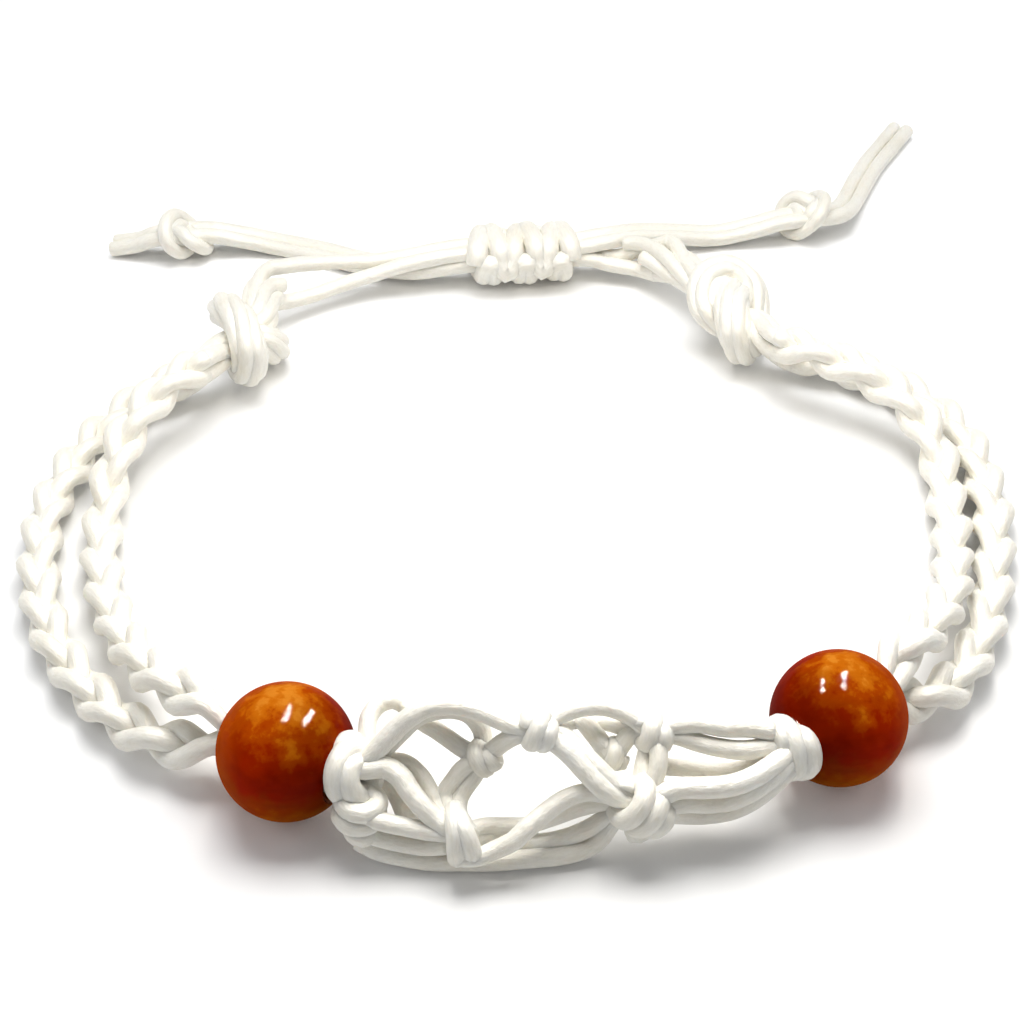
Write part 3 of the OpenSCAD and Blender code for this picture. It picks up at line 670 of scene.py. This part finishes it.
def make_lights():
    """Soft light from above, the front and both sides, and two strips that shine in the beads."""
    scene = bpy.context.scene
    scene.view_settings.view_transform = "Standard"
    world = bpy.data.worlds.new("studio")
    world.use_nodes = True
    background = world.node_tree.nodes["Background"]
    background.inputs["Color"].default_value = (1, 1, 1, 1)
    background.inputs["Strength"].default_value = AMBIENT
    scene.world = world
    for row in LIGHTS:
        make_light(*row)


def closing_strand(side, k):
    """Path of one of the two cords of a closing pair."""
    rows = way(CLOSING_ROUTES[side], CLOSING_STEP)
    middle = rows[:, :3]
    f = -1 if k == 1 else 1
    apart = rows[:, 3:4] * level_side(tangents(middle)) + rows[:, 4:5] * [0, 0, 1]
    return middle + f * apart


def plait_strand(p, k):
    """Path of one of the three cords of a plait."""
    route = smooth(PLAIT_ROUTES[p])
    total = distances(route)[-1]
    # A whole number of sixths of a turn, so that both ends close the same way
    turns = round(6 * total / PLAIT_PITCH) / 6
    s = np.linspace(0, total, int(total / RING_STEP * PLAIT_DENSITY))
    angle = np.radians(90 + 360 * turns * s / total + 120 * k)
    swing = np.stack([PLAIT_SWAY * np.sin(angle), PLAIT_LIFT * np.sin(2 * angle)], -1)
    ends = []
    for end in (math.radians(90 + 120 * k), math.radians(90 + 360 * turns + 120 * k)):
        ends.append(PLAIT_BUNDLE * np.array([math.sin(end), math.sin(2 * end)]))
    bundle = np.where((s < total / 2)[:, None], ends[0], ends[1])
    g = ease(np.clip(np.minimum(s, total - s) / PLAIT_OPEN, 0, 1))[:, None]
    offset = bundle * (1 - g) + swing * g
    ahead, back = np.minimum(s + PLAIT_AHEAD, total), np.maximum(s - PLAIT_AHEAD, 0)
    t = unit(at(route, ahead) - at(route, back))
    side = level_side(t)
    return at(route, s) + offset[:, :1] * side + offset[:, 1:] * np.cross(side, t)


def box_of(node):
    """Middle and size of a node's box, in millimetres."""
    low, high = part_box(node)
    return np.array((low + high) / 2) / MM, (np.array(high) - np.array(low)) / MM


def bead_centre(side):
    """Middle of the bead's box."""
    return box_of("bead_" + SIDES[side])[0]


def bead_axis(side):
    """Direction of the bead's hole, towards the net."""
    a = math.radians(BEAD_HEADING[side])
    return np.array([math.cos(a), math.sin(a), 0.0])


def ring_slots(points, centre, axis):
    """Angles, spread evenly round an axis, for cords that come from the given points in order."""
    side = level_side(axis)
    up = np.cross(side, axis)
    d = np.asarray(points, float) - centre
    angle = np.arctan2(d @ up, d @ side)
    order = np.argsort(angle)
    n = len(points)
    spread = np.arange(n) * 2 * math.pi / n
    slots = np.empty(n)
    slots[order] = spread + np.angle(np.mean(np.exp(1j * (angle[order] - spread))))
    return slots, side, up


def round_axis(centre, side, up, angle, radius):
    """The point at an angle and a radius round the centre."""
    return centre + radius * (math.cos(angle) * side + math.sin(angle) * up)


def make_closing_cords(material):
    """The four free cords of the closing, each returned with its path."""
    cords = []
    for side in (LEFT, RIGHT):
        for k in (1, 2):
            name = f"closing_cord_{SIDES[side]}_{k}"
            path = closing_strand(side, k)
            obj = make_piece(name + "_strand", [tube(stepped(path), TAIL_CORD)], material, name)
            cords.append((obj, path))
    return cords


def make_plaits(material):
    """Three cords of each plait, each running on into its bead's hole."""
    for side in (LEFT, RIGHT):
        paths = [(p, k, plait_strand(p, k)) for p in (2 * side, 2 * side + 1) for k in (1, 2, 3)]
        axis = -bead_axis(side)
        mouth = bead_centre(side) + axis * (BEAD_LENGTH / 2 - HOLE_DEPTH)
        slots, u, v = ring_slots([path[0] for _, _, path in paths], mouth, axis)
        for (p, k, path), slot in zip(paths, slots):
            inner = round_axis(mouth, u, v, slot, HOLE_RING)
            lead = bridge(inner, axis, path[PLAIT_FIRST], tangents(path)[PLAIT_FIRST])
            whole = np.vstack([[inner - axis * HOLE_TAIL], lead, path[PLAIT_FIRST + 1:]])
            d = np.full(len(whole), PLAIT_CORD)
            d[:len(lead)] = np.linspace(HOLE_CORD, PLAIT_CORD, len(lead))
            name = f"{PLAIT_NAMES[p]}_{k}"
            make_piece(name + "_cord", [tube(whole, d)], material, name)


def make_big_knot(side, material):
    """Six cords tied together in an overhand knot; two go on as the closing pair."""
    centre, turn, roll, stretch, rope, mouth, neck, reach = BIG_KNOTS[side]
    line = placed(overhand() * rope, centre, turn, roll, stretch)
    spine = way(np.vstack([[mouth], line, neck]))
    _, n, b = carried_frame(spine)
    s = distances(spine)
    gate = int(np.argmin(np.linalg.norm(spine - neck[0], axis=1)))
    total = s[gate]
    ends = [plait_strand(p, k) for p in (2 * side, 2 * side + 1) for k in (1, 2, 3)]
    slots = np.arange(STRANDS) * 2 * math.pi / STRANDS
    d = np.array([path[-1] for path in ends]) - np.asarray(mouth)
    angle = np.arctan2(d @ b[0], d @ n[0])
    order = np.argsort(angle)
    slots = slots + np.angle(np.mean(np.exp(1j * (angle[order] - slots))))
    # Each closing cord goes on from the free cord that comes out nearest to it
    chosen = {}
    for k in (1, 2):
        out = closing_strand(side, k)
        d = out[0] - spine[gate]
        want = math.atan2(d @ b[gate], d @ n[gate])
        free = [i for i in range(STRANDS) if i not in chosen]
        best = max(free, key=lambda i: math.cos(slots[i] + KNOT_TWIST * total - want))
        chosen[best] = out
    cut = iter(reach)
    parts = []
    for i, j in enumerate(order):
        end = total - KNOT_STOP if i in chosen else total + next(cut)
        keep = (s >= KNOT_START) & (s <= end)
        a = (slots[i] + KNOT_TWIST * s[keep])[:, None]
        late = np.clip((s[keep] - total + KNOT_FAN_OVER) / KNOT_FAN_OVER, 0, 1)
        fan = 1 + KNOT_FAN * late * (i not in chosen)
        ring = ((rope - STRAND) / 2 + STRAND_PLAY) * fan[:, None]
        body = spine[keep] + ring * (np.cos(a) * n[keep] + np.sin(a) * b[keep])
        path = ends[j]
        lead = bridge(path[-2], tangents(path)[-1], body[0], tangents(body)[0])
        pieces = [lead[:-1], body]
        if i in chosen:
            out = chosen[i]
            pieces.append(bridge(body[-1], tangents(body)[-1], out[1], tangents(out)[1])[1:])
        whole = stepped(np.vstack(pieces))
        widths = np.full(len(whole), STRAND)
        widths[:SLIM_OVER] = np.linspace(PLAIT_CORD, STRAND, SLIM_OVER)
        parts.append(tube(whole, widths))
    make_piece(f"big_knot_{SIDES[side]}_cords", parts, material, f"big_knot_{SIDES[side]}")


def wrapped(wraps, turns, start):
    """A coil through a row of tilted rings, its ends tucked in; start is its first angle."""
    rows = []
    for place, turn, rise, radius in wraps:
        a, b = math.radians(turn), math.radians(rise)
        heading = [math.cos(a) * math.cos(b), math.sin(a) * math.cos(b), math.sin(b)]
        rows.append([*place, *heading, radius])
    f = np.linspace(0, 1, WRAP_POINTS)
    table = smooth(rows, 12)
    table = np.stack([np.interp(f, np.linspace(0, 1, len(table)), c) for c in table.T], -1)
    axis = unit(table[:, 3:6])
    side = level_side(axis)
    up = np.cross(side, axis)
    phi = (math.radians(start) + f * 2 * math.pi * turns)[:, None]
    tuck = ease(np.clip(np.minimum(f, 1 - f) * turns / TUCK_OVER, 0, 1))
    radius = (table[:, 6] * (TUCK_TO + (1 - TUCK_TO) * tuck))[:, None]
    return stepped(table[:, :3] + radius * (np.cos(phi) * side + np.sin(phi) * up), FINE_STEP)


def make_net(material):
    """The knotted net between the beads."""
    parts = [tube(way(points), d) for d, points in NET_CORDS]
    parts += [tube(wrapped(wraps, turns, start), d) for wraps, turns, start, d in NET_KNOTS]
    make_piece("net_pouch_cords", parts, material, "net_pouch")


def make_gather_knot(side, material):
    """Wraps that gather the net's cords, and the cords through the bead."""
    parts = [tube(wrapped(wraps, turns, start), d) for wraps, turns, start, d in GATHER_KNOTS[side]]
    centre, axis = bead_centre(side), bead_axis(side)
    # Two cords of the bundle go to each wrap in turn, and the rest to the last one
    goals = np.array([row[0] for knot in GATHER_KNOTS[side] for row in knot[0]])
    u = level_side(axis)
    v = np.cross(u, axis)
    for i in range(STRANDS):
        a = 2 * math.pi * i / STRANDS + BUNDLE_TURN
        far = round_axis(centre - axis * (BEAD_LENGTH / 2 - BUNDLE_SHORT), u, v, a, BUNDLE_RING)
        near = round_axis(centre + axis * (BEAD_LENGTH / 2 + BUNDLE_OUT), u, v, a, BUNDLE_RING)
        aside = BUNDLE_FAN * (near - centre - axis * BUNDLE_FAN_FROM)
        goal = goals[min(i // 2, len(goals) - 1)] + aside
        parts.append(tube(way([far, near, goal]), BUNDLE_CORD))
    name = f"gather_knot_{SIDES[side]}"
    make_piece(name + "_cords", parts, material, name)


def make_bead(side):
    """A turned bead with a softly rounded hole."""
    name = "bead_" + SIDES[side]
    centre, size = box_of(name)
    radius = size[2] / 2
    bore = BEAD_BORE / 2
    half = BEAD_LENGTH / 2
    face = math.sqrt(radius ** 2 - half ** 2)
    start = math.atan2(face, half)
    profile = [(radius * math.cos(a), radius * math.sin(a))
               for a in np.linspace(start, math.pi - start, BEAD_RINGS)]
    rim = [(-half + BEAD_RIM * (1 - math.sin(a)), bore + BEAD_RIM * (1 - math.cos(a)))
           for a in np.linspace(math.pi / 2, 0, RIM_RINGS)]
    inside = [(x, bore)
              for x in np.linspace(-half + BEAD_RIM, half - BEAD_RIM, RIM_RINGS)[1:-1]]
    back_rim = [(-x, r) for x, r in rim[::-1]]
    loop = profile + rim + inside + back_rim
    sides = BEAD_SIDES
    angle = np.linspace(0, 2 * math.pi, sides, endpoint=False)
    verts = np.array([[x, r * math.cos(a), r * math.sin(a)] for x, r in loop for a in angle])
    verts = placed(verts, centre, BEAD_HEADING[side])
    m = len(loop)
    faces, places = [], []
    for i in range(m):
        for j in range(sides):
            k = (j + 1) % sides
            h = (i + 1) % m
            faces.append([i * sides + j, h * sides + j, h * sides + k, i * sides + k])
            places.append([(i / m, j / sides), ((i + 1) / m, j / sides),
                           ((i + 1) / m, (j + 1) / sides), (i / m, (j + 1) / sides)])
    wood = make_wood_material(centre * MM, bead_axis(side), BEAD_AMBER[side])
    make_piece(name + "_wood", [(verts, faces, places)], wood, name)


def make_sliding_knot(material):
    """Square knots round the closing cords: one cord crosses in front, the other behind."""
    centre, size = box_of("sliding_knot")
    pitch = (size[0] - SLIDE_CORD) / SLIDE_BARS
    lean = SLIDE_LEAN * pitch
    wide = SLIDE_HALF[0]
    bulge = wide + SLIDE_BULGE
    front, behind = [], []
    for i in range(SLIDE_BARS):
        x = (i - (SLIDE_BARS - 1) / 2) * pitch + SLIDE_PUSH[i]
        tall = SLIDE_HALF[1] * SLIDE_RISE[i]
        d = 1 if i % 2 == 0 else -1
        for points, face, way_round in ((front, 1, d), (behind, -1, -d)):
            points += [[x + along * lean, way_round * across * wide, upright * face * tall]
                       for along, across, upright in SLIDE_BAR]
            if i < SLIDE_BARS - 1:
                points.append([x + pitch / 2, way_round * bulge, -SLIDE_DIP * face * tall])
    parts = [tube(way(np.array(points) + centre, FINE_STEP), SLIDE_CORD)
             for points in (front, behind)]
    make_piece("sliding_knot_cords", parts, material, "sliding_knot")


def make_end_knot(side, material):
    """A small overhand knot of a tail's two cords."""
    name = "end_knot_" + SIDES[side]
    centre, _ = box_of(name)
    turn, roll, lift = END_KNOTS[side]
    line = placed(overhand() * END_KNOT_ROPE, centre + [0, 0, lift], turn, roll, END_KNOT_STRETCH)
    line = way(line, END_KNOT_STEP)
    _, n, b = carried_frame(line)
    parts = [tube(line + f * END_KNOT_APART * (n + b), END_KNOT_CORD) for f in (-1, 1)]
    return make_piece(name + "_cords", parts, material, name)


make_camera()
cord_material = make_cord_material()
closing_cords = make_closing_cords(cord_material)
end_knots = [make_end_knot(side, cord_material) for side in (LEFT, RIGHT)]
make_plaits(cord_material)
make_net(cord_material)
for side in (LEFT, RIGHT):
    make_big_knot(side, cord_material)
    make_gather_knot(side, cord_material)
    make_bead(side)
make_sliding_knot(cord_material)
make_floor()
make_lights()
